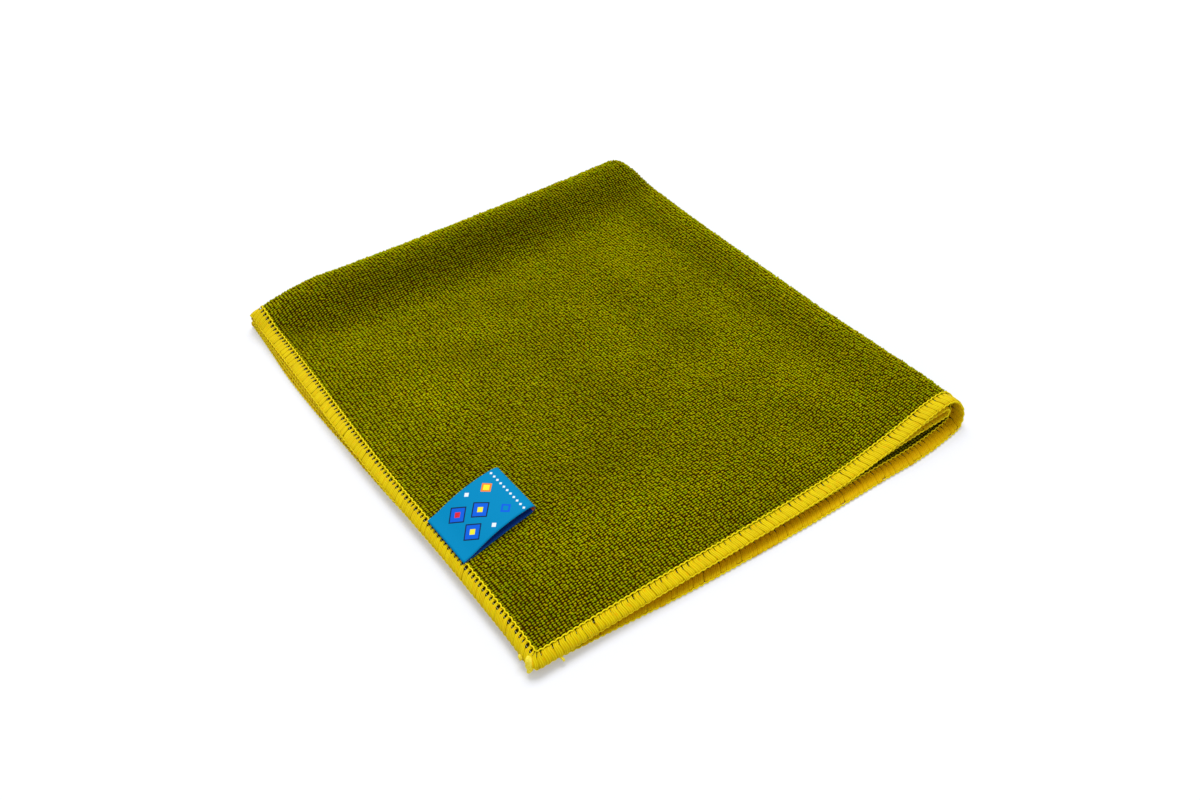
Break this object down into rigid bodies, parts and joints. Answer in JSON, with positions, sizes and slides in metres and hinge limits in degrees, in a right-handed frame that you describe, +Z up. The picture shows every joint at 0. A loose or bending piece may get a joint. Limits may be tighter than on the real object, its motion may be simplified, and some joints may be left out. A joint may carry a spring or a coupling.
{
  "type": "microfibre cloth",
  "caption": "Looped microfibre cleaning cloth with an overlocked edge and a small ribbon label, folded twice into a quarter and lying flat.",
  "frame": {"origin": "centre of the bounding box, on the surface that the cloth lies on", "axes": "+Z up; +Y towards the first fold, along the open edge that holds the label; +X towards the second fold, along the other open edge"},
  "size_m": [0.18, 0.2098, 0.0149],
  "materials": {
    "cloth": "matt looped knit, olive green",
    "edging": "soft sheen overlock yarn, yellow",
    "label": "smooth printed ribbon, sky blue"
  },
  "bodies": {
    "root": {"cloth": "cloth", "edging": "edging", "label": "label"}
  },
  "joints": []
}
